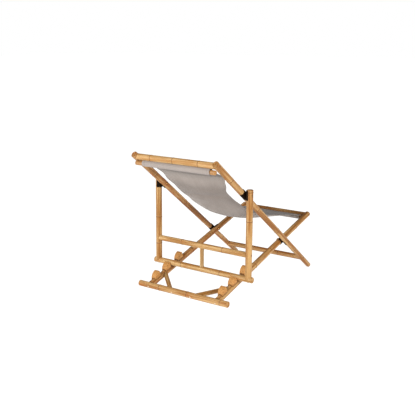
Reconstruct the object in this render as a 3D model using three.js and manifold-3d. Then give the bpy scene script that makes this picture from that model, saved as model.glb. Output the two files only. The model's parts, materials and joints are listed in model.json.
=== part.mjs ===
// Folding bamboo lounge chair with a hung cloth seat, in millimetres, +Z up, sitter facing -Y.
// Three ladder frames cross at four bolts: the back frame, the seat frame and the prop frame.
// The back frame leans on the prop frame, whose foot rail stands in one of three notches.

import * as THREE from 'three';
import { mergeVertices } from 'three/addons/utils/BufferGeometryUtils.js';
import Module from 'manifold-3d';

const wasm = await Module();
wasm.setup();

// Shared by all pieces
const clearance = 0.3;
const cutOverrun = 40;
const weldTolerance = 0.0001;
const poleSides = 12;
const fastenerSides = 10;
const nodeRise = 1.1;
const nodeWidth = 11;
const endBevel = 1.8;
const endRecess = 2.2;
const poleWall = 5.5;
// Where the rings of each pole are: along each free stretch of a rail, and along a whole bar
const ringShares = {
  backRails: { left: [[0.43], [0.15, 0.62], [0.33]], right: [[0.57], [0.22, 0.74], [0.54]] },
  seatRails: { left: [[0.2, 0.81], [0.44]], right: [[0.13, 0.69], [0.57]] },
  propPosts: { left: [[0.9], [0.38]], right: [[], [0.6]] },
  headrestBar: [0.21, 0.52, 0.8],
  stretcher: [0.3, 0.66],
  frontBar: [0.62],
  floorBar: [0.075, 0.44, 0.76],
  footRail: [0.31, 0.71],
  midRail: [0.27, 0.72],
};

// Back frame: two rails inside the prop posts and outside the seat rails
const backLeanDegrees = 38;
const backRailLength = 1210;
const backRailFootRadius = 14.8;
const backRailTopRadius = 18.4;
const backFootHeight = 8.5;
const backFootToSeatHinge = 336;
const backFootToPropHinge = 898;
const headrestBarRadius = 17.4;
const headrestBarFromTop = 20;
const stretcherRadius = 15.3;
const stretcherFromFoot = 112;
const upperRodRadius = 12;
const upperRodInset = 6;
const upperHemGap = 1.7;

// Seat frame: two rails between the back rails, standing on the rear floor bar
const seatRailLength = 980;
const seatRailSpread = 229;
const seatRailRearRadius = 18.6;
const seatRailFrontRadius = 15.8;
const seatRearToHinge = 654;
const floorBarRadius = 17;
const floorBarOverhang = 73;
const floorBarFlatDepth = 1.2;
const frontBarRadius = 13.8;
const frontBarFromFront = 14;
const lowerRodRadius = 11;
const lowerHemGap = 8.5;
const lowerRodTenonRadius = 7;
const lowerRodTenonLength = 10;
const braceRadius = 12.8;
const braceFootSpread = 80;
const braceTopFromRear = 137;

// Notch blocks that stop the foot rail of the prop, counted from the rear
const notchPlaceShares = [0.06, 0.157, 0.274];
const restNotch = 1;
const notchLength = 46;
const notchWidth = 32;
const notchHeight = 48;
const notchTip = 9;
const notchTipRound = 3;
const notchBackShare = 0.86;

// Prop frame: two posts outside the back rails
const propPostRadius = 17.9;
const propPostAboveHinge = 30;
const footRailRadius = 16.5;
const footRailOverhang = 26.5;
const midRailRadius = 15.8;
const midRailAboveFoot = 133;
const spindleRadius = 12;

// Pegs that pin the bars to the poles they butt against
const pegRadius = 4.6;
const pegProud = 1.2;
const pegGrip = 15;
const crownShare = 0.65;

// Hinge bolts, cap nuts and the rubber pads between the crossing poles
const boltRadius = 4;
const boltHeadRadius = 7.5;
const boltHeadHeight = 3.4;
const nutRadius = 7.2;
const nutLength = 10;
const nutGrip = 6;
const seatPadLength = 44;
const propPadLength = 52;
const padThickness = 2.56;
const padRunningGap = 0.4;

// Cloth seat, hung from the upper rod to the lower rod
const clothThickness = 2.4;
const clothTopInset = 27.6;
const clothFrontInset = 9.4;
const clothDrop = 92;
const clothBelly = 46;
const creaseDepth = 5;
const creasePlaceShare = 0.3;
const creaseSpreadShare = 0.03;
const rippleDepth = 2.5;
const rippleCount = 4;
const bellyTopShare = 0.48;
const bellyFullShare = 0.6;
const seamDropShare = -0.073;
const hemSlit = 0.6;
const hemTailShare = 0.9;
const hemReach = 34;
const hemArcSteps = 10;
const hemTurnShare = 0.65;
const clothColumns = 10;
const clothRows = 20;
// Along the line between the rods, and how much of the drop an edge has reached there
const edgeDropShares = [
  [0.07, -0.09],
  [0.11, -0.08],
  [0.15, 0.02],
  [0.2, 0.32],
  [0.25, 0.51],
  [0.31, 0.655],
  [0.38, 0.81],
  [0.48, 1],
  [0.59, 0.855],
  [0.67, 0.73],
  [0.82, 0.335],
  [0.94, 0.02],
];
// Along the same line, and how much of the top width is left there before the front end
const waistShares = [
  [0, 1],
  [0.1, 0.97],
  [0.17, 0.91],
  [0.25, 0.79],
  [0.33, 0.79],
  [0.45, 0.84],
  [0.6, 0.88],
  [0.75, 0.91],
  [0.9, 0.92],
];

const finishes = {
  pole: { color: 0xc89768, roughness: 0.5, metalness: 0 },
  paleBar: { color: 0xd9b48c, roughness: 0.5, metalness: 0 },
  rail: { color: 0xb98a5c, roughness: 0.5, metalness: 0 },
  notch: { color: 0xcf9b66, roughness: 0.6, metalness: 0 },
  rod: { color: 0xd6b080, roughness: 0.5, metalness: 0 },
  peg: { color: 0x9a6632, roughness: 0.6, metalness: 0 },
  rubber: { color: 0x1d1512, roughness: 0.8, metalness: 0 },
  bolt: { color: 0x8c6236, roughness: 0.35, metalness: 0.8 },
  cloth: { color: 0xa4978f, roughness: 0.9, metalness: 0 },
};

// Closed geometry to solid: vertices are merged and the flat triangles at an axis are dropped
function toSolid(geometry) {
  const bare = geometry.clone();
  bare.deleteAttribute('normal');
  bare.deleteAttribute('uv');
  const merged = mergeVertices(bare, weldTolerance);
  const index = merged.index.array;
  const triangles = [];
  for (let i = 0; i < index.length; i += 3) {
    const [a, b, c] = index.slice(i, i + 3);
    if (a !== b && b !== c && c !== a) triangles.push(a, b, c);
  }
  return new wasm.Manifold(new wasm.Mesh({
    numProp: 3,
    vertProperties: Float32Array.from(merged.attributes.position.array),
    triVerts: Uint32Array.from(triangles),
  }));
}

function toGeometry(solid) {
  const { vertProperties, triVerts } = solid.getMesh();
  const geometry = new THREE.BufferGeometry();
  geometry.setAttribute('position', new THREE.BufferAttribute(vertProperties, 3));
  geometry.setIndex(new THREE.BufferAttribute(triVerts, 1));
  geometry.computeVertexNormals();
  return geometry;
}

function addPiece(frame, name, solid, finish) {
  const mesh = new THREE.Mesh(toGeometry(solid), new THREE.MeshStandardMaterial(finish));
  mesh.name = name;
  frame.add(mesh);
}

// Turns a shape made along +Y so that it runs from start towards end
function layAlong(geometry, start, end) {
  const direction = end.clone().sub(start).normalize();
  const turn = new THREE.Quaternion().setFromUnitVectors(new THREE.Vector3(0, 1, 0), direction);
  return geometry.applyQuaternion(turn).translate(start.x, start.y, start.z);
}

function turned(profile, sides, start, end) {
  const points = profile.map(([radius, height]) => new THREE.Vector2(radius, height));
  return toSolid(layAlong(new THREE.LatheGeometry(points, sides), start, end));
}

function lerp(from, to, share) {
  return from + (to - from) * share;
}

// A bamboo pole: tapered, with a raised ring at each node and a shallow cup in each sawn end.
// Its rings are given as heights from its start.
class Pole {
  constructor(start, end, startRadius, endRadius, rings, sawnEnds = [false, false]) {
    Object.assign(this, { start, end, startRadius, endRadius, rings, sawnEnds });
    this.length = start.distanceTo(end);
  }

  radiusAt(height) {
    return lerp(this.startRadius, this.endRadius, height / this.length);
  }

  // For a rail along Y: its radius beside a place in the frame
  radiusBeside(y) {
    return this.radiusAt(Math.abs(y - this.start.y));
  }

  ringProfile(spare) {
    return this.rings.flatMap((height) => {
      const radius = this.radiusAt(height) + spare;
      return [
        [radius, height - nodeWidth / 2],
        [radius + nodeRise, height],
        [radius, height + nodeWidth / 2],
      ];
    });
  }

  solid() {
    const { length, startRadius, endRadius, sawnEnds } = this;
    const profile = [];
    if (sawnEnds[0]) {
      const bore = startRadius - poleWall;
      profile.push([0, endRecess], [bore, endRecess], [bore, 0]);
      profile.push([startRadius - endBevel, 0], [startRadius, endBevel]);
    } else {
      profile.push([0, 0], [startRadius, 0]);
    }
    profile.push(...this.ringProfile(0));
    if (sawnEnds[1]) {
      const bore = endRadius - poleWall;
      profile.push([endRadius, length - endBevel], [endRadius - endBevel, length]);
      profile.push([bore, length], [bore, length - endRecess], [0, length - endRecess]);
    } else {
      profile.push([endRadius, length], [0, length]);
    }
    return turned(profile, poleSides, this.start, this.end);
  }

  // The pole with the clearance round it, for cutting what butts against it
  cutter() {
    const profile = [
      [0, 0],
      [this.startRadius + clearance, 0],
      ...this.ringProfile(clearance),
      [this.endRadius + clearance, this.length],
      [0, this.length],
    ];
    return turned(profile, poleSides, this.start, this.end);
  }
}

function drill(radius, start, end) {
  const wide = (radius + clearance) / Math.cos(Math.PI / fastenerSides);
  const depth = start.distanceTo(end);
  return turned([[0, 0], [wide, 0], [wide, depth], [0, depth]], fastenerSides, start, end);
}

function cut(solid, cutters) {
  return cutters.reduce((left, cutter) => left.subtract(cutter), solid);
}

// Heights of the rings on the free stretches of a rail, each stretch with its shares
function ringsBetween(stretches, shares) {
  return stretches.flatMap(([from, to], i) => {
    const first = from + nodeWidth / 2;
    const last = to - nodeWidth / 2;
    return shares[i].map((share) => lerp(first, last, share));
  });
}

function ringsAlong(length, shares) {
  return shares.map((share) => share * length);
}

function backRailRadiusAt(fromFoot) {
  return lerp(backRailFootRadius, backRailTopRadius, fromFoot / backRailLength);
}

const at = (x, y, z = 0) => new THREE.Vector3(x, y, z);
const sides = [['left', 1], ['right', -1]];

// Frames: each lies in its own XY plane with its rails along Y, and is then placed and leant
const seatFrame = new THREE.Group();
const backFrame = new THREE.Group();
const propFrame = new THREE.Group();
seatFrame.name = 'seat_frame_group';
backFrame.name = 'back_frame_group';
propFrame.name = 'prop_frame_group';

const backLean = THREE.MathUtils.degToRad(backLeanDegrees);
const floorBarHeight = floorBarRadius - floorBarFlatDepth;
const seatHingeHeight = backFootHeight + backFootToSeatHinge * Math.sin(backLean);
const seatLean = Math.asin((seatHingeHeight - floorBarHeight) / seatRearToHinge);

seatFrame.position.set(0, 0, floorBarHeight);
seatFrame.rotation.x = -seatLean;
seatFrame.updateMatrixWorld();
backFrame.position.copy(seatFrame.localToWorld(at(0, -seatRearToHinge)));
backFrame.rotation.x = backLean;
backFrame.updateMatrixWorld();

// Both rods stay clear of the bar beside them, with the cloth's hem between
const hemRoom = clearance + clothThickness;
const lowerRodFromFront = frontBarFromFront + frontBarRadius + lowerHemGap + hemRoom + lowerRodRadius;
// The upper rod lies on the rails' round backs, its ends a little inside their middles
const railAtRod = backRailRadiusAt(backRailLength - headrestBarFromTop);
const rodOffMiddle = Math.max(0, upperRodInset);
const upperRodBehind = Math.sqrt(Math.max(0, railAtRod ** 2 - rodOffMiddle ** 2))
  + clearance + upperRodRadius;
const upperRodToBar = headrestBarRadius + upperHemGap + hemRoom + upperRodRadius;
const upperRodBelowBar = Math.sqrt(Math.max(0, upperRodToBar ** 2 - upperRodBehind ** 2));
const upperRodFromTop = headrestBarFromTop + upperRodBelowBar;

// Rings keep clear of the pads and of what rests on a rail or turns against it
const seatPadReach = seatPadLength / 2;
const propPadReach = propPadLength / 2;
const seatRailStart = floorBarRadius / 2;
const notchPlaces = notchPlaceShares.map((share) => share * seatRailLength);
const frontNotchReach = Math.max(...notchPlaces) + notchLength / 2 + footRailRadius * 2;
const seatRailStretches = [
  [frontNotchReach, seatRearToHinge - seatPadReach],
  [seatRearToHinge + seatPadReach, seatRailLength - lowerRodFromFront - lowerRodRadius],
].map((stretch) => stretch.map((fromRear) => fromRear - seatRailStart));
const seatRails = sides.map(([word, side]) => new Pole(
  at(side * seatRailSpread, -seatRailStart),
  at(side * seatRailSpread, -seatRailLength),
  seatRailRearRadius,
  seatRailFrontRadius,
  ringsBetween(seatRailStretches, ringShares.seatRails[word]),
  [false, true],
));

// The foot rail stands on the seat rails, against the front of one pair of notch blocks
const footRailFromRear = notchPlaces[restNotch] + notchLength / 2 + clearance + footRailRadius;
const footRailLift = seatRails[0].radiusBeside(-footRailFromRear) + clearance + footRailRadius;
const propHingeUp = backFootToPropHinge - backFootToSeatHinge;
const propHinge = backFrame.localToWorld(at(0, propHingeUp));
const propFoot = seatFrame.localToWorld(at(0, -footRailFromRear, footRailLift));
const propReach = propHinge.distanceTo(propFoot);

propFrame.position.copy(propHinge);
propFrame.rotation.x = Math.atan2(propHinge.z - propFoot.z, propHinge.y - propFoot.y);
propFrame.updateMatrixWorld();

// At each hinge two pads fit between the crossing poles
const crossingGap = (clearance + padThickness) * 2 + padRunningGap;
const backRailSpread = seatRailSpread + seatRails[0].radiusBeside(-seatRearToHinge)
  + crossingGap + backRailRadiusAt(backFootToSeatHinge);
const propPostSpread = backRailSpread + backRailRadiusAt(backFootToPropHinge)
  + crossingGap + propPostRadius;

const backTop = backRailLength - backFootToSeatHinge;
const backRailStretches = [
  [stretcherFromFoot + stretcherRadius, backFootToSeatHinge - seatPadReach],
  [backFootToSeatHinge + seatPadReach, backFootToPropHinge - propPadReach],
  [backFootToPropHinge + propPadReach, backRailLength - upperRodFromTop - upperRodRadius],
];
const backRails = sides.map(([word, side]) => new Pole(
  at(side * backRailSpread, -backFootToSeatHinge),
  at(side * backRailSpread, backTop),
  backRailFootRadius,
  backRailTopRadius,
  ringsBetween(backRailStretches, ringShares.backRails[word]),
  [true, true],
));

const propPostStretches = [
  [footRailRadius, midRailAboveFoot - midRailRadius],
  [midRailAboveFoot + midRailRadius, propReach - propPadReach],
];
const propPosts = sides.map(([word, side]) => new Pole(
  at(side * propPostSpread, -propReach),
  at(side * propPostSpread, propPostAboveHinge),
  propPostRadius,
  propPostRadius,
  ringsBetween(propPostStretches, ringShares.propPosts[word]),
  [false, true],
));

// A pair of poles at the place where a hinge crosses them
function crossing(frame, poles, y) {
  return { frame, poles, y, spread: Math.abs(poles[0].start.x), radius: poles[0].radiusBeside(y) };
}

// Hinges along X, each between an outer and an inner pair of poles
const seatCrossing = {
  name: 'seat_hinge',
  padLength: seatPadLength,
  outer: crossing(backFrame, backRails, 0),
  inner: crossing(seatFrame, seatRails, -seatRearToHinge),
};
const propCrossing = {
  name: 'prop_hinge',
  padLength: propPadLength,
  outer: crossing(propFrame, propPosts, 0),
  inner: crossing(backFrame, backRails, propHingeUp),
};

function boltHole(place, side) {
  const reach = propPostSpread + cutOverrun;
  return drill(boltRadius, at(0, place), at(side * reach, place));
}

// The wider hole in the outer pole that a bolt's head is sunk in
function headSeat({ outer }) {
  return outer.spread + outer.radius - boltHeadHeight;
}

function headHole(hinge, side) {
  const outside = hinge.outer.spread + hinge.outer.radius + cutOverrun;
  const bottom = headSeat(hinge) - clearance;
  const place = hinge.outer.y;
  return drill(boltHeadRadius, at(side * bottom, place), at(side * outside, place));
}

// Peg holes and pegs share one list for each frame: a visible end and the way the peg goes in
function peg(name, surface, inward, depth) {
  const way = inward.clone().normalize();
  const start = surface.clone().addScaledVector(way, -pegProud);
  const end = surface.clone().addScaledVector(way, depth);
  return { name, start, end };
}

function pegHole({ start, end }) {
  const past = end.clone().sub(start).setLength(clearance).add(end);
  return drill(pegRadius, start, past);
}

function addPegs(frame, pegs) {
  for (const { name, start, end } of pegs) {
    const length = start.distanceTo(end);
    const crown = pegRadius * crownShare;
    const profile = [[0, 0], [crown, 0], [pegRadius, pegProud], [pegRadius, length], [0, length]];
    addPiece(frame, name, turned(profile, fastenerSides, start, end), finishes.peg);
  }
}

// A pair of pegs that go in from the outside through two rails into the ends of a bar
function sidePegs(name, rail, y) {
  const radius = rail.radiusBeside(y);
  const outside = Math.abs(rail.start.x) + radius;
  return sides.map(([word, side]) => peg(
    `${name}_${word}`,
    at(side * outside, y),
    at(-side, 0),
    radius + radius + pegGrip,
  ));
}

// A bar between two rails of a frame, with its ends hollowed to fit them
function addBar(frame, name, rails, y, radius, shares, pegs, finish) {
  const reach = Math.abs(rails[0].start.x);
  const rings = ringsAlong(reach + reach, shares);
  const bar = new Pole(at(-reach, y), at(reach, y), radius, radius, rings);
  const holes = pegs.map(pegHole);
  const solid = cut(bar.solid(), [...rails.map((rail) => rail.cutter()), ...holes]);
  addPiece(frame, name, solid, finish);
}

// Everything below the floor, as a cutter in a frame's own directions
function floorCutter(frame) {
  const reach = backRailLength + seatRailLength;
  const block = new THREE.BoxGeometry(reach * 2, reach * 2, cutOverrun);
  block.translate(0, 0, -cutOverrun / 2);
  return toSolid(block.applyMatrix4(frame.matrixWorld.clone().invert()));
}

// Back frame
const headrestY = backTop - headrestBarFromTop;
const stretcherY = stretcherFromFoot - backFootToSeatHinge;
const headrestPegs = sidePegs('headrest_peg', backRails[0], headrestY);
const stretcherPegs = sidePegs('stretcher_peg', backRails[0], stretcherY);
const backPegs = [...headrestPegs, ...stretcherPegs];

sides.forEach(([word, side], i) => {
  const cutters = [
    floorCutter(backFrame),
    boltHole(0, side),
    headHole(seatCrossing, side),
    boltHole(propHingeUp, side),
    ...backPegs.map(pegHole),
  ];
  addPiece(backFrame, `back_rail_${word}`, cut(backRails[i].solid(), cutters), finishes.rail);
});
addBar(backFrame, 'headrest_bar', backRails, headrestY, headrestBarRadius,
  ringShares.headrestBar, headrestPegs, finishes.paleBar);
addBar(backFrame, 'front_stretcher', backRails, stretcherY, stretcherRadius,
  ringShares.stretcher, stretcherPegs, finishes.pole);
addPegs(backFrame, backPegs);

// The upper rod lies behind the rails and is held there by the pull of the cloth
const upperRodY = backTop - upperRodFromTop;
const upperRodHalfLength = backRailSpread - upperRodInset;
const upperRod = new Pole(
  at(-upperRodHalfLength, upperRodY, -upperRodBehind),
  at(upperRodHalfLength, upperRodY, -upperRodBehind),
  upperRodRadius,
  upperRodRadius,
  [],
  [true, true],
);
addPiece(backFrame, 'upper_sling_rod', upperRod.solid(), finishes.rod);

// Seat frame
// The room that a notch block takes on its rail, for cutting what ends beside it
function notchRoom(rail, fromRear) {
  const room = [notchWidth, notchLength].map((size) => size + clearance + clearance);
  const block = new THREE.BoxGeometry(...room, notchHeight);
  return toSolid(block.translate(rail.start.x, -fromRear, notchHeight / 2));
}

const floorBarHalfLength = seatRailSpread + floorBarOverhang;
const floorBar = new Pole(
  at(-floorBarHalfLength, 0),
  at(floorBarHalfLength, 0),
  floorBarRadius,
  floorBarRadius,
  ringsAlong(floorBarHalfLength * 2, ringShares.floorBar),
  [true, true],
);
const frontBarY = frontBarFromFront - seatRailLength;
const lowerRodY = lowerRodFromFront - seatRailLength;
const braces = sides.map(([, side]) => new Pole(
  at(side * braceFootSpread, 0),
  at(side * seatRailSpread, -braceTopFromRear),
  braceRadius,
  braceRadius,
  [],
));
const frontPegs = sidePegs('front_bar_peg', seatRails[0], frontBarY);
const floorBarPegDepth = floorBarRadius + floorBarRadius + pegGrip;
const railPegs = sides.map(([word, side]) => peg(
  `seat_rail_peg_${word}`,
  at(side * seatRailSpread, floorBarRadius),
  at(0, -1),
  floorBarPegDepth,
));
const bracePegs = sides.map(([word], i) => {
  const way = braces[i].end.clone().sub(braces[i].start).normalize();
  const behind = floorBarRadius / -way.y;
  const surface = braces[i].start.clone().addScaledVector(way, -behind);
  return peg(`brace_peg_${word}`, surface, way, behind + behind + pegGrip);
});
const lowerRodHoles = seatRails.map((rail) => {
  const inner = rail.start.x - Math.sign(rail.start.x) * rail.endRadius;
  const tip = inner + Math.sign(inner) * (lowerRodTenonLength + clearance);
  return drill(lowerRodTenonRadius, at(0, lowerRodY), at(tip, lowerRodY));
});

sides.forEach(([word, side], i) => {
  const cutters = [
    floorBar.cutter(),
    boltHole(-seatRearToHinge, side),
    lowerRodHoles[i],
    ...[...frontPegs, ...railPegs].map(pegHole),
  ];
  addPiece(seatFrame, `seat_rail_${word}`, cut(seatRails[i].solid(), cutters), finishes.pole);
  const braceCutters = [
    floorBar.cutter(),
    seatRails[i].cutter(),
    ...notchPlaces.map((place) => notchRoom(seatRails[i], place)),
    ...bracePegs.map(pegHole),
  ];
  addPiece(seatFrame, `corner_brace_${word}`, cut(braces[i].solid(), braceCutters), finishes.pole);
});
const floorBarCutters = [floorCutter(seatFrame), ...[...railPegs, ...bracePegs].map(pegHole)];
addPiece(seatFrame, 'rear_floor_bar', cut(floorBar.solid(), floorBarCutters), finishes.paleBar);
addBar(seatFrame, 'front_bar', seatRails, frontBarY, frontBarRadius,
  ringShares.frontBar, frontPegs, finishes.pole);
addPegs(seatFrame, [...frontPegs, ...railPegs, ...bracePegs]);

// The lower rod has a slim tenon at each end, seated in the seat rails
const lowerRodShoulder = seatRailSpread - seatRails[0].radiusBeside(lowerRodY) - clearance;
const lowerRodLength = (lowerRodShoulder + lowerRodTenonLength) * 2;
const lowerRodProfile = [
  [0, 0],
  [lowerRodTenonRadius, 0],
  [lowerRodTenonRadius, lowerRodTenonLength],
  [lowerRodRadius, lowerRodTenonLength],
  [lowerRodRadius, lowerRodLength - lowerRodTenonLength],
  [lowerRodTenonRadius, lowerRodLength - lowerRodTenonLength],
  [lowerRodTenonRadius, lowerRodLength],
  [0, lowerRodLength],
];
const lowerRodEnds = [-1, 1].map((side) => at(side * lowerRodLength / 2, lowerRodY));
const lowerRod = turned(lowerRodProfile, poleSides, ...lowerRodEnds);
addPiece(seatFrame, 'lower_sling_rod', lowerRod, finishes.rod);

// Notch blocks: round at the back, steep towards the front, hollowed to sit on the rails
function notchBlock(rail, fromRear) {
  const half = notchLength / 2;
  const outline = new THREE.Shape();
  outline.moveTo(-half, 0);
  outline.lineTo(half, 0);
  outline.quadraticCurveTo(half, notchHeight * notchBackShare, notchTip - half, notchHeight);
  outline.lineTo(notchTipRound - half, notchHeight);
  outline.quadraticCurveTo(-half, notchHeight, -half, notchHeight - notchTipRound);
  outline.closePath();
  const block = new THREE.ExtrudeGeometry(outline, {
    depth: notchWidth,
    bevelEnabled: false,
    curveSegments: 5,
  });
  block.translate(0, 0, -notchWidth / 2);
  const turn = new THREE.Matrix4().makeBasis(at(0, 1, 0), at(0, 0, 1), at(1, 0, 0));
  block.applyMatrix4(turn).translate(rail.start.x, -fromRear, 0);
  return toSolid(block).subtract(rail.cutter());
}

sides.forEach(([word], i) => {
  notchPlaces.forEach((fromRear, place) => {
    const solid = notchBlock(seatRails[i], fromRear);
    addPiece(seatFrame, `notch_block_${word}_${place + 1}`, solid, finishes.notch);
  });
});

// Prop frame
const footRailHalfLength = propPostSpread + footRailOverhang;
const footRail = new Pole(
  at(-footRailHalfLength, -propReach),
  at(footRailHalfLength, -propReach),
  footRailRadius,
  footRailRadius,
  ringsAlong(footRailHalfLength * 2, ringShares.footRail),
  [true, true],
);
const midRailY = midRailAboveFoot - propReach;
const midRailRod = new Pole(
  at(-propPostSpread, midRailY),
  at(propPostSpread, midRailY),
  midRailRadius,
  midRailRadius,
  ringsAlong(propPostSpread * 2, ringShares.midRail),
);
const midRailPegs = sidePegs('mid_rail_peg', propPosts[0], midRailY);
const postPegs = sides.map(([word, side]) => peg(
  `prop_post_peg_${word}`,
  at(side * propPostSpread, -propReach - footRailRadius),
  at(0, 1),
  footRailRadius + footRailRadius + pegGrip,
));
const spindlePegs = [
  peg('spindle_peg_lower', at(0, -propReach - footRailRadius), at(0, 1),
    footRailRadius + footRailRadius + pegGrip),
  peg('spindle_peg_upper', at(0, midRailY + midRailRadius), at(0, -1),
    midRailRadius + midRailRadius + pegGrip),
];

sides.forEach(([word, side], i) => {
  const cutters = [
    footRail.cutter(),
    boltHole(0, side),
    headHole(propCrossing, side),
    ...[...midRailPegs, ...postPegs].map(pegHole),
  ];
  addPiece(propFrame, `prop_post_${word}`, cut(propPosts[i].solid(), cutters), finishes.pole);
});
const footRailHoles = [...postPegs, spindlePegs[0]].map(pegHole);
addPiece(propFrame, 'prop_foot_rail', cut(footRail.solid(), footRailHoles), finishes.paleBar);
addBar(propFrame, 'prop_mid_rail', propPosts, midRailY, midRailRadius,
  ringShares.midRail, [...midRailPegs, spindlePegs[1]], finishes.paleBar);
const spindle = new Pole(at(0, -propReach), at(0, midRailY), spindleRadius, spindleRadius, []);
const spindleCutters = [footRail.cutter(), midRailRod.cutter(), ...spindlePegs.map(pegHole)];
addPiece(propFrame, 'prop_spindle', cut(spindle.solid(), spindleCutters), finishes.pole);
addPegs(propFrame, [...midRailPegs, ...postPegs, ...spindlePegs]);

// Bolts go in from the outer pole, and a cap nut closes each one inside the inner pole
function addBolt(hinge, word, side) {
  const { name, outer, inner } = hinge;
  const { frame, y: place } = outer;
  const seat = headSeat(hinge);
  const nutFace = inner.spread - inner.radius - clearance;
  const tip = nutFace - nutGrip + clearance;
  const length = seat + boltHeadHeight - tip;
  const crown = boltHeadRadius * crownShare;
  const boltProfile = [
    [0, 0],
    [crown, 0],
    [boltHeadRadius, boltHeadHeight / 2],
    [boltHeadRadius, boltHeadHeight],
    [boltRadius, boltHeadHeight],
    [boltRadius, length],
    [0, length],
  ];
  const headTop = at(side * (seat + boltHeadHeight), place);
  const bolt = turned(boltProfile, fastenerSides, headTop, at(side * tip, place));
  addPiece(frame, `${name}_bolt_${word}`, bolt, finishes.bolt);
  const bore = (boltRadius + clearance) / Math.cos(Math.PI / fastenerSides);
  const nutProfile = [
    [0, nutGrip],
    [bore, nutGrip],
    [bore, 0],
    [nutRadius, 0],
    [nutRadius, nutGrip],
    [nutRadius / 2, nutLength],
    [0, nutLength],
  ];
  const nutEnds = [at(side * nutFace, place), at(side * (nutFace - nutLength), place)];
  const nut = turned(nutProfile, fastenerSides, ...nutEnds);
  addPiece(frame, `${name}_cap_nut_${word}`, nut, finishes.bolt);
}

// A half sleeve of rubber on the side of a pole that faces its crossing neighbour
function padSolid({ poles, y, spread, radius }, padLength, side, facing) {
  const outside = radius + clearance + padThickness;
  const steps = poleSides / 2;
  const angles = Array.from({ length: steps + 1 }, (_, i) => (i / steps - 0.5) * Math.PI);
  const arc = (r) => angles.map((a) => new THREE.Vector2(r * Math.cos(a), r * Math.sin(a)));
  const outline = new THREE.Shape([...arc(outside), ...arc(radius / 2).reverse()]);
  const sleeve = new THREE.ExtrudeGeometry(outline, { depth: padLength, bevelEnabled: false });
  sleeve.translate(0, 0, -padLength / 2);
  const turn = new THREE.Matrix4().makeBasis(at(facing, 0, 0), at(0, 0, facing), at(0, -1, 0));
  const solid = toSolid(sleeve.applyMatrix4(turn).translate(side * spread, y, 0));
  const pole = side > 0 ? poles[0] : poles[1];
  return cut(solid, [pole.cutter(), boltHole(y, side)]);
}

function addPads({ name, padLength, outer, inner }, word, side) {
  const outerPad = padSolid(outer, padLength, side, -side);
  const innerPad = padSolid(inner, padLength, side, side);
  addPiece(outer.frame, `${name}_outer_pad_${word}`, outerPad, finishes.rubber);
  addPiece(inner.frame, `${name}_inner_pad_${word}`, innerPad, finishes.rubber);
}

for (const [word, side] of sides) {
  for (const hinge of [seatCrossing, propCrossing]) {
    addBolt(hinge, word, side);
    addPads(hinge, word, side);
  }
}

// Cloth seat: a band drawn in the side plane for each column, joined into one closed skin
const flat = (point) => new THREE.Vector2(point.y, point.z);
const upperRodCentre = flat(backFrame.localToWorld(at(0, upperRodY, -upperRodBehind)));
const lowerRodCentre = flat(seatFrame.localToWorld(at(0, lowerRodY)));
const chord = lowerRodCentre.clone().sub(upperRodCentre);
const chordWay = chord.clone().normalize();
const downWay = new THREE.Vector2(-chordWay.y, chordWay.x);
if (downWay.y > 0) downWay.negate();

function readShares(table, share) {
  const last = table.length - 1;
  const next = Math.min(last, Math.max(1, table.findIndex(([place]) => place >= share)));
  const [fromPlace, fromValue] = table[next - 1];
  const [toPlace, toValue] = table[next];
  const eased = THREE.MathUtils.smoothstep(share, fromPlace, toPlace);
  return lerp(fromValue, toValue, eased);
}

const edgeCurve = new THREE.SplineCurve([
  new THREE.Vector2(hemReach / chord.length(), seamDropShare),
  ...edgeDropShares.map(([place, drop]) => new THREE.Vector2(place, drop)),
  new THREE.Vector2(1 - hemReach / chord.length(), 0),
]);

// A point of the cloth: the middle hangs lower than the edges, a crease runs across the upper
// back, and the edges ripple a little
function onCloth(share, across) {
  const { x: place, y: dropShare } = edgeCurve.getPoint(share);
  const between = Math.sin(Math.PI * place);
  const fullness = THREE.MathUtils.smoothstep(place, creasePlaceShare, bellyFullShare);
  const belly = clothBelly * lerp(bellyTopShare, 1, fullness) * (1 - across ** 2) * between;
  const fromCrease = (place - creasePlaceShare) / creaseSpreadShare - across;
  const crease = creaseDepth * Math.exp(-(fromCrease ** 2)) * (1 - across ** 4);
  const ripple = rippleDepth * Math.sin(2 * Math.PI * rippleCount * place) * across ** 2 * between;
  const drop = dropShare * clothDrop + belly - crease + ripple;
  return upperRodCentre.clone()
    .addScaledVector(chordWay, place * chord.length())
    .addScaledVector(downWay, drop);
}

// The hem: from the seam round the rod and back to the seam, on the far side of the cloth
function hemLoop(centre, rodRadius, seam, backSign) {
  const way = seam.clone().sub(centre);
  const spread = Math.acos(wrapRadius(rodRadius) / way.length());
  const start = Math.atan2(way.y, way.x);
  const points = [];
  for (let i = 0; i <= hemArcSteps; i += 1) {
    const angle = start - backSign * lerp(spread, 2 * Math.PI - spread, i / hemArcSteps);
    const arm = new THREE.Vector2(Math.cos(angle), Math.sin(angle));
    points.push(centre.clone().addScaledVector(arm, wrapRadius(rodRadius)));
  }
  const last = points[points.length - 1];
  const aside = new THREE.Vector2(-way.y, way.x).setLength(clothThickness + hemSlit);
  const tail = seam.clone().addScaledVector(aside, backSign);
  points.push(last.clone().lerp(tail, hemTailShare));
  return points;
}

function wrapRadius(rodRadius) {
  const halfStep = (Math.PI * hemTurnShare) / hemArcSteps;
  return (rodRadius + clearance) / Math.cos(halfStep) + clothThickness / 2;
}

function clothBand(across) {
  const sheet = [];
  for (let i = 0; i <= clothRows; i += 1) sheet.push(onCloth(i / clothRows, across));
  const upper = hemLoop(upperRodCentre, upperRodRadius, sheet[0], 1);
  const lower = hemLoop(lowerRodCentre, lowerRodRadius, sheet[clothRows], -1);
  return [...upper.reverse(), ...sheet, ...lower];
}

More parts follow.
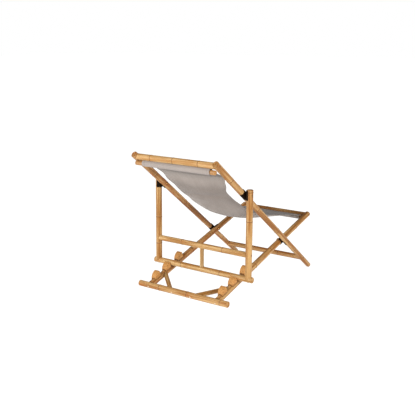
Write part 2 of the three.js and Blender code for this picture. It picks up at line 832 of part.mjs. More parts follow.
function bandOutline(path) {
  const front = [];
  const back = [];
  path.forEach((point, i) => {
    const before = path[Math.max(0, i - 1)];
    const after = path[Math.min(path.length - 1, i + 1)];
    const inWay = point.clone().sub(before);
    const outWay = after.clone().sub(point);
    if (i === 0) inWay.copy(outWay);
    if (i === path.length - 1) outWay.copy(inWay);
    const along = inWay.normalize().add(outWay.normalize()).normalize();
    const square = new THREE.Vector2(-along.y, along.x);
    const miter = clothThickness / 2 / square.dot(new THREE.Vector2(-inWay.y, inWay.x));
    front.push(point.clone().addScaledVector(square, miter));
    back.push(point.clone().addScaledVector(square, -miter));
  });
  return [...front, ...back.reverse()];
}

const clothTopHalfWidth = backRailSpread - backRailTopRadius - clothTopInset;
const clothFrontHalfWidth = lowerRodShoulder - clothFrontInset;
const widthShares = [...waistShares, [1, clothFrontHalfWidth / clothTopHalfWidth]];

function clothSolid() {
  const positions = [];
  const indices = [];
  let count = 0;
  let capFaces = [];
  for (let column = 0; column <= clothColumns; column += 1) {
    const across = (column / clothColumns) * 2 - 1;
    const outline = bandOutline(clothBand(across));
    count = outline.length;
    if (column === 0) capFaces = THREE.ShapeUtils.triangulateShape(outline, []);
    outline.forEach((point) => {
      const place = point.clone().sub(upperRodCentre).dot(chordWay) / chord.length();
      const share = readShares(widthShares, THREE.MathUtils.clamp(place, 0, 1));
      positions.push(across * clothTopHalfWidth * share, point.x, point.y);
    });
  }
  for (let column = 0; column < clothColumns; column += 1) {
    for (let i = 0; i < count; i += 1) {
      const a = column * count + i;
      const b = column * count + ((i + 1) % count);
      indices.push(a, a + count, b, b, a + count, b + count);
    }
  }
  const lastColumn = clothColumns * count;
  for (const [a, b, c] of capFaces) {
    indices.push(a, c, b);
    indices.push(lastColumn + a, lastColumn + b, lastColumn + c);
  }
  const geometry = new THREE.BufferGeometry();
  geometry.setAttribute('position', new THREE.Float32BufferAttribute(positions, 3));
  geometry.setIndex(indices);
  return toSolid(geometry);
}

const chair = new THREE.Group();
chair.name = 'folding_recliner';
chair.add(seatFrame, backFrame, propFrame);
addPiece(chair, 'sling', clothSolid(), finishes.cloth);

// The origin is on the floor, under the middle of the chair's length and width
chair.updateMatrixWorld(true);
const bounds = new THREE.Box3().setFromObject(chair, true);
chair.position.set(
  -(bounds.min.x + bounds.max.x) / 2,
  -(bounds.min.y + bounds.max.y) / 2,
  -bounds.min.z,
);

export default chair;
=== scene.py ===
# Looks of a folding bamboo lounge chair with a hung cloth seat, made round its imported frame.
# Metres, +Z up, the sitter faces -Y. Every piece stands for a node and lies where that node lies.
import json
import math
import random

import bpy
import numpy as np
from mathutils import Matrix, Vector

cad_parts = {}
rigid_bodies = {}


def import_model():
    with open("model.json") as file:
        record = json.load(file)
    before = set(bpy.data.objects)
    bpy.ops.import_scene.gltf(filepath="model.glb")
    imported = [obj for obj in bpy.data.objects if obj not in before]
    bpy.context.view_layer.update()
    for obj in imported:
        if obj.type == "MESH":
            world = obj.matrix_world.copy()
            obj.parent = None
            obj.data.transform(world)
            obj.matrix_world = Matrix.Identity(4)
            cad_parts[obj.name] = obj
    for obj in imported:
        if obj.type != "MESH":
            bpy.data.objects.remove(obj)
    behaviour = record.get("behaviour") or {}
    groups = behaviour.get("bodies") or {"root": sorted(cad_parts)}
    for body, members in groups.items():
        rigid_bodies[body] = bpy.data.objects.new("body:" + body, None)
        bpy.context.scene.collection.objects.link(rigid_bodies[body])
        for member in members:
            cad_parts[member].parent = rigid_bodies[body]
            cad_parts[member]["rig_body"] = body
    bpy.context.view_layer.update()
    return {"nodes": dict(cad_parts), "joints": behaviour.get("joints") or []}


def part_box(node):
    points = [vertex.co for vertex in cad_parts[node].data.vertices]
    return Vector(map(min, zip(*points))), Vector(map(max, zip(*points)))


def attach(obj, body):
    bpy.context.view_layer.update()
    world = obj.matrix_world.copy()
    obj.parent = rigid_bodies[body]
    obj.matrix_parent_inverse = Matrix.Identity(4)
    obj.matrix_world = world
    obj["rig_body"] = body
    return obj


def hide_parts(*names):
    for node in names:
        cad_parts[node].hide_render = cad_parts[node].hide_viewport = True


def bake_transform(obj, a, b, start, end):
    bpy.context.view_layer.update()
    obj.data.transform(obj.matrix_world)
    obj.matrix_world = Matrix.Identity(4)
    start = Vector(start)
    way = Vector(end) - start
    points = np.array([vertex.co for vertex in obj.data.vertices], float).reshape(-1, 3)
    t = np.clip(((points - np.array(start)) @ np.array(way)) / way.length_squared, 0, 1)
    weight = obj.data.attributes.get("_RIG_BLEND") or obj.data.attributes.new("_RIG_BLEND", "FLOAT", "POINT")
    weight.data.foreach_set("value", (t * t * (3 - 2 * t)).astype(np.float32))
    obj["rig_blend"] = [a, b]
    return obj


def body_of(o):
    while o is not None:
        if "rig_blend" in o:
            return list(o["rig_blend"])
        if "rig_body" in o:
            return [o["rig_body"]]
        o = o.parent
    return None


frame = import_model()
print("frame loaded:", len(frame["nodes"]), "nodes")

shared = {
    "clearance": 0.0003,
    "sawWall": 0.0055,  # from the skin of a pole to the cup in its sawn end
    "sawCup": 0.0022,
    "sawBevel": 0.0018,
    "ringRise": 0.0011,
    "ringWidth": 0.011,
    "seed": 11,
}
chance = random.Random(shared["seed"])


# Shader maths: a Wire is a socket, and each operator on it adds a Math node
class Wire:
    def __init__(self, finish, socket):
        self.finish = finish
        self.socket = socket

    def math(self, operation, *values):
        return self.finish.node("ShaderNodeMath", {"operation": operation}, values)

    def __add__(self, other):
        return self.math("ADD", self, other)

    __radd__ = __add__

    def __sub__(self, other):
        return self.math("SUBTRACT", self, other)

    def __rsub__(self, other):
        return self.math("SUBTRACT", other, self)

    def __mul__(self, other):
        return self.math("MULTIPLY", self, other)

    __rmul__ = __mul__

    def __abs__(self):
        return self.math("ABSOLUTE", self)

    def wave(self, length):
        return self.math("SINE", self * (math.tau / length))


class Finish:
    def __init__(self, name):
        self.material = bpy.data.materials.new(name)
        self.material.use_nodes = True
        self.tree = self.material.node_tree
        self.tree.nodes.clear()

    def node(self, kind, settings=None, values=(), output=0):
        node = self.tree.nodes.new(kind)
        for key, setting in (settings or {}).items():
            setattr(node, key, setting)
        pairs = values.items() if isinstance(values, dict) else enumerate(values)
        for key, value in pairs:
            if isinstance(value, Wire):
                self.tree.links.new(value.socket, node.inputs[key])
            else:
                node.inputs[key].default_value = value
        return Wire(self, node.outputs[output]) if node.outputs else None

    def objectPlace(self):
        return self.node("ShaderNodeTexCoord", {}, (), "Object")

    def part(self, vector, axis):
        return self.node("ShaderNodeSeparateXYZ", {}, [vector], axis)

    def attribute(self, name, output="Fac"):
        return self.node("ShaderNodeAttribute", {"attribute_name": name}, (), output)

    def stretched(self, vector, scales, shift=None):
        moved = vector
        if shift is not None:
            moved = self.node("ShaderNodeVectorMath", {"operation": "ADD"}, [vector, shift])
        return self.node("ShaderNodeVectorMath", {"operation": "MULTIPLY"}, [moved, scales])

    def noise(self, vector, scale, detail=2, roughness=0.5, distortion=0):
        return self.node("ShaderNodeTexNoise", {}, {
            "Vector": vector,
            "Scale": scale,
            "Detail": detail,
            "Roughness": roughness,
            "Distortion": distortion,
        })

    def ease(self, value, low, high):
        return self.node("ShaderNodeMapRange", {"interpolation_type": "SMOOTHSTEP"}, {
            "Value": value,
            "From Min": low,
            "From Max": high,
        })

    def mix(self, share, first, second, blend="MIX"):
        settings = {"data_type": "RGBA", "blend_type": blend}
        return self.node("ShaderNodeMix", settings, {0: share, 6: first, 7: second}, 2)

    def bump(self, height, depth):
        values = {"Height": height, "Strength": 1, "Distance": depth}
        return self.node("ShaderNodeBump", {}, values)

    def surface(self, color, rough, values):
        values = {"Base Color": color, "Roughness": rough, **values}
        shader = self.node("ShaderNodeBsdfPrincipled", {}, values)
        self.node("ShaderNodeOutputMaterial", {}, [shader])
        return self.material


class Sky(Finish):
    def __init__(self, world):
        world.use_nodes = True
        self.tree = world.node_tree
        self.tree.nodes.clear()


def paint(red, green, blue):
    def toLinear(value):
        share = value / 255
        return share / 12.92 if share <= 0.04045 else ((share + 0.055) / 1.055) ** 2.4
    return (toLinear(red), toLinear(green), toLinear(blue), 1)


def newObject(name, data):
    thing = bpy.data.objects.new(name, data)
    bpy.context.scene.collection.objects.link(thing)
    return thing


def newPiece(name, points, faces, place=None):
    mesh = bpy.data.meshes.new(name)
    mesh.from_pydata(points, [], faces)
    piece = newObject(name, mesh)
    if place is not None:
        piece.matrix_world = place
    return piece


# Faces between two loops of points, or from one loop to a point
def band(first, second, count):
    steps = [(j, (j + 1) % count) for j in range(count)]
    return [(first + j, first + k, second + k, second + j) for j, k in steps]


def fan(first, count, centre, isEnd):
    steps = [(j, (j + 1) % count) for j in range(count)]
    return [(first + j, first + k, centre) if isEnd else (first + k, first + j, centre)
            for j, k in steps]


# Directions of the three ladder frames, from the hinges and the bars at their feet
def middle(node):
    low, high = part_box(node)
    return (low + high) / 2


def floorBarAxis():
    low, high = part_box("rear_floor_bar")
    return Vector((0, (low.y + high.y) / 2, high.z - (high.y - low.y) / 2))


hingePlace = {joint["name"]: Vector(joint["pos_m"]) for joint in frame["joints"]}
across = Vector((1, 0, 0))
ways = {
    "back_frame": (hingePlace["prop_hinge"] - hingePlace["back_hinge"]).normalized(),
    "seat_frame": (hingePlace["back_hinge"] - floorBarAxis()).normalized(),
    "prop_frame": (hingePlace["prop_hinge"] - middle("prop_foot_rail")).normalized(),
}
print("frame directions:", {name: tuple(round(c, 3) for c in way) for name, way in ways.items()})


def cornersOf(node):
    return np.array([corner.co for corner in frame["nodes"][node].data.vertices], float)


def bodyOf(node):
    return body_of(frame["nodes"][node])[0]


# A pole's line: local Z runs along it and local Y is square to its ladder frame
def poleLine(node, way):
    normal = ways[bodyOf(node)].cross(across).normalized()
    side = normal.cross(way)
    turn = np.array([side, normal, way])
    local = cornersOf(node) @ turn.T
    low, high = local.min(0), local.max(0)
    centre = (low + high) / 2
    if node == "rear_floor_bar":
        start = floorBarAxis() + way * (low[2] - floorBarAxis().dot(way))
    else:
        start = Vector(np.array([centre[0], centre[1], low[2]]) @ turn)
    place = Matrix((side, normal, way)).transposed().to_4x4()
    place.translation = start
    return place, float(high[2] - low[2])


# Bamboo poles
poleLoop = {
    "sides": 44,
    "spacing": 0.016,
    "margin": 0.002,  # from a sawn bevel or a saddle to the nearest loop
    "ringReach": 0.01,
    # In mm, from a ring
    "ringOffsets": (-7, -5.5, -4.2, -3, -2, -1.3, -0.8, -0.4, 0, 0.3, 0.7, 1.2, 2, 3.2, 4.5, 6),
    "saddleShares": (1, 0.75, 0.4),
}


class Pole:
    def __init__(self, node, way, radii, tone, stain, extraRings):
        self.node = node
        self.place, self.length = poleLine(node, way)
        self.way = way
        self.radii = radii
        self.tone = tone
        self.stain = stain
        self.start = self.place.translation.copy()
        self.phases = [chance.uniform(0, math.tau) for _ in range(6)]
        self.seed = chance.uniform(0, 9)
        self.rings = self.findRings() + [self.length - height for height in extraRings]
        # How dark the middle of a sawn end is painted: painted shade of a deep hollow, strongest on the foot
        # rail and floor bar
        self.hollowShade = 0.9 if node in ("prop_foot_rail", "rear_floor_bar") else 0.25

    def radiusAt(self, height):
        return self.radii[0] + (self.radii[1] - self.radii[0]) * height / self.length

    def findRings(self):
        local = np.array([self.place.inverted() @ Vector(c) for c in cornersOf(self.node)])
        rise = np.hypot(local[:, 0], local[:, 1]) - self.radiusAt(local[:, 2])
        heights = []
        for height in sorted(local[rise > shared["ringRise"] * 0.8, 2]):
            if not heights or height - heights[-1] > shared["ringWidth"] / 2:
                heights.append(float(height))
        return heights

    # A low swelling at each ring, with a fine groove where the sheath grew
    def swelling(self, heights):
        rise = np.zeros_like(heights)
        for ring in self.rings:
            away = (heights - ring) / (shared["ringWidth"] / 2)
            hump = np.clip(1 - np.abs(away), 0, 1) ** 1.3
            groove = np.exp(-((heights - ring - 0.0003) / 0.0005) ** 2)
            rise = rise + shared["ringRise"] * hump - 0.0006 * groove
        return rise

    # A real stem is never quite round or straight-sided, and stays inside its size
    def unevenness(self, angles, heights):
        a, b, c, d, e, f = self.phases
        oval = 0.006 * self.radii[0] * (1 + np.cos(2 * angles + a))
        lumps = np.sin(3 * angles + b + 21 * heights) * np.sin(34 * heights + c)
        dents = np.sin(angles + d) * np.sin(17 * heights + e) + np.sin(5 * angles + f) / 3
        return oval + 0.00012 * (2 + lumps + dents)

    def skin(self, angles, heights):
        return self.radiusAt(heights) + self.swelling(heights) - self.unevenness(angles, heights)


# Where lines along a pole's own Z meet the skin of a crossing pole, in the pole's own axes
def saddle(pole, crossing, x, y, isEnd):
    back = pole.place.inverted()
    point = np.array(back @ crossing.start)
    way = np.array(back.to_3x3() @ crossing.way)
    along = (crossing.place.inverted() @ pole.start).z
    reach = crossing.radiusAt(along) + shared["clearance"]
    rise = np.array([0, 0, 1]) - way[2] * way
    offset = np.stack([x - point[0], y - point[1], np.zeros_like(x) - point[2]], -1)
    offset = offset - (offset @ way)[..., None] * way
    square = rise @ rise
    half = offset @ rise
    rest = (offset ** 2).sum(-1) - reach ** 2
    inside = half ** 2 - square * rest
    root = np.sqrt(np.clip(inside, 0, None))
    height = (-half - root) / square if isEnd else (-half + root) / square
    missed = pole.length if isEnd else 0
    height = np.where(inside < 0, missed, height)
    return np.clip(height, 0, pole.length)


def sawnLoops(radius):
    wall, cup, bevel = shared["sawWall"], shared["sawCup"], shared["sawBevel"]
    return [
        (radius - bevel * 0.04, bevel, 0),
        (radius - bevel * 0.25, bevel * 0.45, 0),
        (radius - bevel * 0.62, bevel * 0.12, 1),
        (radius - bevel, 0, 1),
        (radius - wall * 0.7, 0, 1),
        (radius - wall, cup * 0.12, 1),
        (radius - wall * 1.12, cup * 0.7, 1),
        (radius - wall * 1.3, cup, 1),
        (radius * 0.3, cup * 0.85, 1),
    ]


# The closed skin of a pole. An end is either sawn, or hollowed to sit on a crossing pole.
def buildPole(pole, crossings):
    around, margin = poleLoop["sides"], poleLoop["margin"]
    angles = np.arange(around) * math.tau / around

    def place(radius, heights):
        return np.cos(angles) * radius, np.sin(angles) * radius, heights

    # Each loop is its x, y and z arrays, and the material index of its faces
    def capLoops(isEnd):
        crossing = crossings[isEnd]
        edge = pole.length if isEnd else 0
        facing = -1 if isEnd else 1
        made = []
        if crossing is None:
            for radius, depth, index in sawnLoops(pole.radiusAt(edge)):
                heights = np.full(around, edge + facing * depth)
                made.append((*place(radius, heights), index))
            return made
        for share in poleLoop["saddleShares"]:
            x, y, _ = place(pole.radiusAt(edge) * share, 0)
            made.append((x, y, saddle(pole, crossing, x, y, isEnd), int(share < 1)))
        return made

    startCap, endCap = capLoops(False), capLoops(True)
    low = max(startCap[0][2].max(), shared["sawBevel"]) + margin
    high = min(endCap[0][2].min(), pole.length - shared["sawBevel"]) - margin
    heights = list(np.linspace(low, high, max(3, int((high - low) / poleLoop["spacing"]))))
    for ring in pole.rings:
        heights = [h for h in heights if abs(h - ring) > poleLoop["ringReach"]]
        heights += [ring + offset / 1000 for offset in poleLoop["ringOffsets"]]
    heights = sorted(h for h in heights if low <= h <= high)

    loops = startCap[::-1]
    for height in heights:
        row = np.full(around, height)
        loops.append((*place(pole.skin(angles, row), row), 0))
    loops += endCap

    points, faces, indices = [], [], []
    for x, y, z, _ in loops:
        points += list(zip(x, y, z))
    for row in range(len(loops) - 1):
        faces += band(row * around, (row + 1) * around, around)
        indices += [max(loops[row][3], loops[row + 1][3])] * around

    for isEnd, cap in enumerate((startCap, endCap)):
        if crossings[isEnd]:
            middlePoint = np.zeros(1)
            height = saddle(pole, crossings[isEnd], middlePoint, middlePoint, isEnd)[0]
        else:
            height = cap[-1][2][0]
        points.append((0, 0, height))
        faces += fan((len(loops) - 1) * around * isEnd, around, len(points) - 1, isEnd)
        indices += [1] * around

    points = [tuple(map(float, point)) for point in points]
    piece = newPiece("bamboo_" + pole.node, points, faces, pole.place)
    piece.data.polygons.foreach_set("material_index", indices)
    return piece


# A solid turned about an axis: profile has (radius, distance from the base)
def turned(name, profile, base, way, count=24):
    up = way.normalized()
    side = up.orthogonal().normalized()
    other = up.cross(side)
    points, faces = [], []
    rows = [row for row in profile if row[0] > 0]
    for radius, height in rows:
        for j in range(count):
            angle = j * math.tau / count
            arm = side * (math.cos(angle) * radius) + other * (math.sin(angle) * radius)
            points.append(base + up * height + arm)
    for row in range(len(rows) - 1):
        faces += band(row * count, (row + 1) * count, count)
    points += [base + up * profile[0][1], base + up * profile[-1][1]]
    faces += fan(0, count, len(points) - 2, False)
    faces += fan((len(rows) - 1) * count, count, len(points) - 1, True)
    return newPiece(name, points, faces)


# Edges bent by more than these degrees stay sharp
def soften(piece, degrees):
    for face in piece.data.polygons:
        face.use_smooth = True
    piece.data.set_sharp_from_angle(angle=math.radians(degrees))


def bakeShape(piece):
    bpy.context.view_layer.update()
    graph = bpy.context.evaluated_depsgraph_get()
    mesh = bpy.data.meshes.new_from_object(piece.evaluated_get(graph))
    piece.modifiers.clear()
    piece.data = mesh


def cutAway(piece, cutters):
    points, faces = [], []
    for cutter in cutters:
        first = len(points)
        points += [cutter.matrix_world @ corner.co for corner in cutter.data.vertices]
        faces += [tuple(first + i for i in face.vertices) for face in cutter.data.polygons]
        bpy.data.objects.remove(cutter)
    tool = newPiece("cutter", points, faces)
    tool.data.polygons.foreach_set("material_index", [1] * len(faces))
    cut = piece.modifiers.new("holes", "BOOLEAN")
    cut.operation = "DIFFERENCE"
    cut.solver = "EXACT"
    cut.object = tool
    bakeShape(piece)
    bpy.data.objects.remove(tool)


# Fasteners: the way each goes in, from its visible head
pegSizes = {"radius": 0.0046, "sides": 20}
boltSizes = {"radius": 0.004, "headRadius": 0.0075, "headHeight": 0.0034, "sides": 28}
nutSizes = {"radius": 0.0072, "grip": 0.006, "sides": 30}
holeSizes = {"overrun": 0.012, "tenonOverrun": 0.008}


def goingIn(node, way):
    points = cornersOf(node)
    along = points @ np.array(way)
    flat = points - along[:, None] * np.array(way)
    centre = Vector((flat.min(0) + flat.max(0)) / 2)
    return centre + way * float(along.min()), float(along.max() - along.min())


backWay, seatWay, propWay = ways.values()
braceSizes = {"footSpread": 0.080, "topFromRear": 0.137}
railSpread = middle("seat_rail_left").x


def braceWay(side):
    foot = across * side * braceSizes["footSpread"]
    top = across * side * railSpread + seatWay * braceSizes["topFromRear"]
    return (top - foot).normalized()


sides = {"left": 1, "right": -1}
pegWays = {}
for word, side in sides.items():
    for name in ("headrest_peg", "stretcher_peg", "front_bar_peg", "mid_rail_peg"):
        pegWays[f"{name}_{word}"] = across * -side
    pegWays[f"seat_rail_peg_{word}"] = seatWay
    pegWays[f"brace_peg_{word}"] = braceWay(side)
    pegWays[f"prop_post_peg_{word}"] = propWay
pegWays["spindle_peg_lower"] = propWay
pegWays["spindle_peg_upper"] = -propWay
boltWays = {
    f"{hinge}_bolt_{word}": across * -side
    for hinge in ("seat_hinge", "prop_hinge")
    for word, side in sides.items()
}


# A bolt's hole is wider where its head is sunk in the outer pole
def holeFor(node):
    way = pegWays.get(node) or boltWays[node]
    base, length = goingIn(node, way)
    spare = shared["clearance"]
    radius = (pegSizes if node in pegWays else boltSizes)["radius"] + spare
    overrun = holeSizes["overrun"]
    depth = length + overrun + spare
    profile = [(0, 0), (radius, 0), (radius, depth), (0, depth)]
    if node in boltWays:
        wide = boltSizes["headRadius"] + spare
        seat = overrun + boltSizes["headHeight"] + spare
        profile[1:2] = [(wide, 0), (wide, seat), (radius, seat)]
    return turned("hole", profile, base - way * overrun, way)


print("making the poles")
tones = {
    "post": paint(170, 124, 68),
    "bar": paint(188, 149, 97),
    "headrest": paint(202, 164, 114),
    "spindle": paint(181, 153, 116),
    "rail": paint(166, 119, 65),
    # The left rails' tone is darker, partly their own tone and partly painted shade
    "railDarkerAndShaded": paint(164, 111, 58),
    "floorBar": paint(181, 136, 82),
    "brace": paint(164, 122, 68),
}
poles = {}


# A tapered pole has two radii, and the stain is how much of it is mottled
def addPole(node, way, radii, tone, stain, extraRings=()):
    ends = radii if isinstance(radii, tuple) else (radii, radii)
    poles[node] = Pole(node, way, ends, tones[tone], stain, extraRings)


for word in sides:
    # The left rails take the darker tone, partly painted shade
    dark = "railDarkerAndShaded" if word == "left" else "rail"
    addPole(f"back_rail_{word}", backWay, (0.0148, 0.0184), dark, 0.9 if word == "left" else 0.5)
    addPole(f"seat_rail_{word}", seatWay, (0.0186, 0.0158), dark, 0.5)
    fromTop = (0.013,) if word == "right" else ()
    addPole(f"prop_post_{word}", propWay, 0.0179, "post", 0.25, fromTop)
    addPole(f"corner_brace_{word}", braceWay(sides[word]), 0.0128, "brace", 0.5)
addPole("headrest_bar", across, 0.0174, "headrest", 0.3)
addPole("front_stretcher", across, 0.0153, "rail", 0.5)
addPole("front_bar", across, 0.0138, "rail", 0.3)
addPole("rear_floor_bar", across, 0.017, "floorBar", 0.6)
addPole("prop_foot_rail", across, 0.0165, "bar", 0.6)
addPole("prop_mid_rail", across, 0.0158, "bar", 0.6)
addPole("prop_spindle", propWay, 0.012, "spindle", 0.4)


def bothSides(*names):
    return [f"{name}_{word}" for name in names for word in sides]


crossed = {  # what a pole's two ends sit on, the sitter's right end first
    "headrest_bar": bothSides("back_rail")[::-1],
    "front_stretcher": bothSides("back_rail")[::-1],
    "front_bar": bothSides("seat_rail")[::-1],
    "prop_mid_rail": bothSides("prop_post")[::-1],
    "prop_spindle": ["prop_foot_rail", "prop_mid_rail"],
}
holes = {
    "headrest_bar": bothSides("headrest_peg"),
    "front_stretcher": bothSides("stretcher_peg"),
    "front_bar": bothSides("front_bar_peg"),
    "rear_floor_bar": bothSides("seat_rail_peg", "brace_peg"),
    "prop_foot_rail": bothSides("prop_post_peg") + ["spindle_peg_lower"],
    "prop_mid_rail": bothSides("mid_rail_peg") + ["spindle_peg_upper"],
    "prop_spindle": ["spindle_peg_lower", "spindle_peg_upper"],
}
for word in sides:
    crossed[f"seat_rail_{word}"] = ["rear_floor_bar", None]
    crossed[f"prop_post_{word}"] = ["prop_foot_rail", None]
    crossed[f"corner_brace_{word}"] = ["rear_floor_bar", f"seat_rail_{word}"]
    for pole, fasteners in {
        "back_rail": ("headrest_peg", "stretcher_peg", "seat_hinge_bolt", "prop_hinge_bolt"),
        "seat_rail": ("front_bar_peg", "seat_rail_peg", "seat_hinge_bolt"),
        "prop_post": ("mid_rail_peg", "prop_post_peg", "prop_hinge_bolt"),
        "corner_brace": ("brace_peg",),
    }.items():
        holes[f"{pole}_{word}"] = [f"{name}_{word}" for name in fasteners]

upperRod = {"radius": 0.012, "bevel": 0.0015}
lowerRod = {"radius": 0.011, "bevel": 0.001, "tenonRadius": 0.007, "tenonLength": 0.010}
rodLoops = {"sides": 32, "steps": 20}


def tenonHole(word):
    side = sides[word]
    base = middle("lower_sling_rod")
    base.x = side * (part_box("lower_sling_rod")[1].x + shared["clearance"])
    depth = lowerRod["tenonLength"] + holeSizes["tenonOverrun"]
    radius = lowerRod["tenonRadius"] + shared["clearance"]
    return turned("hole", [(0, 0), (radius, 0), (radius, depth), (0, depth)], base, across * -side)


# Distances to the rings, and each pole's own tone, for its material
def tagPole(piece, pole):
    mesh = piece.data
    heights = np.array([corner.co.z for corner in mesh.vertices])
    reach, touching = 0.03, 1e-6
    above = np.full(len(heights), reach)
    below = np.full(len(heights), reach)
    for ring in pole.rings:
        away = heights - ring
        above = np.where(away >= -touching, np.minimum(above, np.abs(away)), above)
        below = np.where(away <= touching, np.minimum(below, np.abs(away)), below)
    rim = np.array([corner.co.xy.length for corner in mesh.vertices]) / pole.radiusAt(heights)
    fromEnd = np.minimum(heights, pole.length - heights)
    for name, values in {
        "ringAbove": above,
        "ringBelow": below,
        "rimShare": rim,
        "fromEnd": np.clip(fromEnd, 0, reach),
        "grainSeed": np.full(len(heights), pole.seed),
        "stainShare": np.full(len(heights), pole.stain),
        "hollowShadeShare": np.full(len(heights), pole.hollowShade),
    }.items():
        added = mesh.attributes.new(name, "FLOAT", "POINT")
        added.data.foreach_set("value", values.astype(np.float32))
    tone = mesh.attributes.new("tone", "FLOAT_COLOR", "POINT")
    tone.data.foreach_set("color", np.tile(pole.tone, len(heights)).astype(np.float32))


def bambooSkin():
    look = {"streak": 0.5, "fibre": 0.16, "ringDark": 0.75, "gloss": 0.42}
    f = Finish("bamboo_skin")
    place = f.objectPlace()
    seed = f.attribute("grainSeed")
    tone = f.attribute("tone", "Color")
    stained = f.attribute("stainShare")
    above = f.attribute("ringAbove")
    below = f.attribute("ringBelow")
    fromEnd = f.attribute("fromEnd")

    broad = f.noise(f.stretched(place, (1, 1, 0.045), seed), 75, 3, 0.55)
    narrow = f.noise(f.stretched(place, (1, 1, 0.03), seed), 300, 3, 0.6)
    fibre = f.noise(f.stretched(place, (1, 1, 0.012), seed), 1500, 2, 0.7)
    cloud = f.noise(f.stretched(place, (1, 1, 0.3), seed), 38, 3, 0.6, 0.4)
    speck = f.noise(f.stretched(place, (1, 1, 0.45), seed), 420, 2, 0.6)

    darker = f.mix(1, tone, paint(206, 184, 150), "MULTIPLY")
    paler = f.mix(0.32, tone, paint(204, 178, 128))
    stain = f.mix(1, tone, paint(216, 168, 110), "MULTIPLY")
    color = f.mix(f.ease(broad, 0.36, 0.64), darker, paler)
    color = f.mix(f.ease(narrow, 0.56, 0.75) * look["streak"], color, darker)
    color = f.mix(f.ease(cloud, 0.5, 0.72) * stained, color, stain)
    color = f.mix(f.ease(fibre, 0.5, 0.8) * look["fibre"], color, darker)
    color = f.mix(f.ease(speck, 0.7, 0.8) * 0.35 * stained, color, paint(120, 72, 36))

    # Each ring: a dark line, a pale bloom on its upper side and a warm shade below
    wobble = f.noise(f.stretched(place, (1, 1, 0.2), seed), 160) * 0.0012 - 0.0006
    nearest = above.math("MINIMUM", above, below)
    line = 1 - f.ease(nearest + wobble, 0.0009, 0.0028)
    bloom = (1 - f.ease(above, 0.002, 0.010)) * f.ease(above, 0.0004, 0.0022)
    shade = (1 - f.ease(below, 0.001, 0.009)) * f.ease(narrow, 0.3, 0.6)
    color = f.mix(bloom * 0.22, color, paint(200, 166, 120))
    color = f.mix(shade * 0.35, color, stain)
    color = f.mix(line * look["ringDark"], color, paint(84, 54, 28))
    # Darker within 12 mm of each end, sawn or sitting on a crossing pole
    darkerNearEnds = (1 - f.ease(fromEnd, 0.001, 0.012)) * 0.3
    color = f.mix(darkerNearEnds, color, darker)

    rough = look["gloss"] + f.ease(cloud, 0.3, 0.8) * 0.14 + line * 0.25
    return f.surface(color, rough, {
        "Normal": f.bump(fibre * 0.4 + narrow * 0.6, 0.0003),
        "Specular IOR Level": 0.2,
        "Coat Weight": 0.06,
        "Coat Roughness": 0.3,
    })


def bambooSaw():
    f = Finish("bamboo_sawn_end")
    place = f.objectPlace()
    seed = f.attribute("grainSeed")
    rim = f.attribute("rimShare")
    tone = f.attribute("tone", "Color")
    dots = f.noise(f.stretched(place, (1, 1, 0.1), seed), 1100, 2, 0.6)
    cloud = f.noise(f.stretched(place, (1, 1, 1), seed), 140, 3, 0.6)
    pale = f.mix(0.75, tone, paint(172, 142, 112))
    color = f.mix(f.ease(cloud, 0.35, 0.7) * 0.5, pale, paint(132, 98, 66))
    dotted = f.ease(dots, 0.52, 0.7) * (0.25 + f.ease(rim, 0.5, 0.95) * 0.6)
    color = f.mix(dotted, color, paint(84, 56, 32))
    # The middle of a sawn end is painted dark: painted shade of a deep hollow
    hollowShade = f.attribute("hollowShadeShare") * (1 - f.ease(rim, 0.86, 0.92))
    color = f.mix(hollowShade, color, paint(64, 48, 33))
    skin = f.ease(rim, 0.86, 0.95)
    color = f.mix(skin * 0.8, color, paint(84, 56, 32))
    return f.surface(color, 0.78, {"Normal": f.bump(dots + cloud * 0.6, 0.0005)})


skinFinish = bambooSkin()
sawFinish = bambooSaw()
darkPoles = bothSides("back_rail", "seat_rail", "prop_post") + ["front_stretcher", "front_bar"]


def finishPiece(piece, node, slot, *finishes, degrees=35):
    soften(piece, degrees)
    piece.data.materials.clear()
    for finish in finishes:
        piece.data.materials.append(finish)
    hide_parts(node)
    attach(piece, bodyOf(node))


def keepAboveFloor(piece):
    back = piece.matrix_world.inverted()
    for corner in piece.data.vertices:
        spot = piece.matrix_world @ corner.co
        if spot.z < 0:
            spot.z = 0
            corner.co = back @ spot


for node, pole in poles.items():
    piece = buildPole(pole, [poles.get(name) for name in crossed.get(node, (None, None))])
    cutters = [holeFor(name) for name in holes.get(node, [])]
    if node.startswith("seat_rail_"):
        cutters.append(tenonHole(node.split("_")[-1]))
    cutAway(piece, cutters)
    keepAboveFloor(piece)
    tagPole(piece, pole)
    slot = "rail_bamboo" if node in darkPoles else "pale_bamboo"
    finishPiece(piece, node, slot, skinFinish, sawFinish)
print("poles made:", len(poles))


# Turned rods that carry the cloth
def plainWood(name, tone, dark, grain=1.0, rough=0.55):
    f = Finish(name)
    place = f.objectPlace()
    lines = f.noise(f.stretched(place, (0.04 / grain, 1, 1)), 420, 3, 0.6)
    cloud = f.noise(place, 60, 3, 0.6)
    color = f.mix(f.ease(lines, 0.4, 0.7) * 0.6, tone, dark)
    color = f.mix(f.ease(cloud, 0.45, 0.75) * 0.35, color, dark)
    return f.surface(color, rough, {"Normal": f.bump(lines, 0.0003)})


rodFinish = plainWood("turned_rod_wood", paint(168, 122, 70), paint(130, 88, 46))


# Both ends are alike, with some loops between them
def addRod(word, end, steps=1):
    base, length = goingIn(f"{word}_sling_rod", across)
    profile = end + [(end[-1][0], length * step / steps) for step in range(1, steps)]
    profile += [(radius, length - height) for radius, height in end[::-1]]
    rod = turned(f"rod_{word}", profile, base, across, rodLoops["sides"])
    finishPiece(rod, f"{word}_sling_rod", "rod_wood", rodFinish)


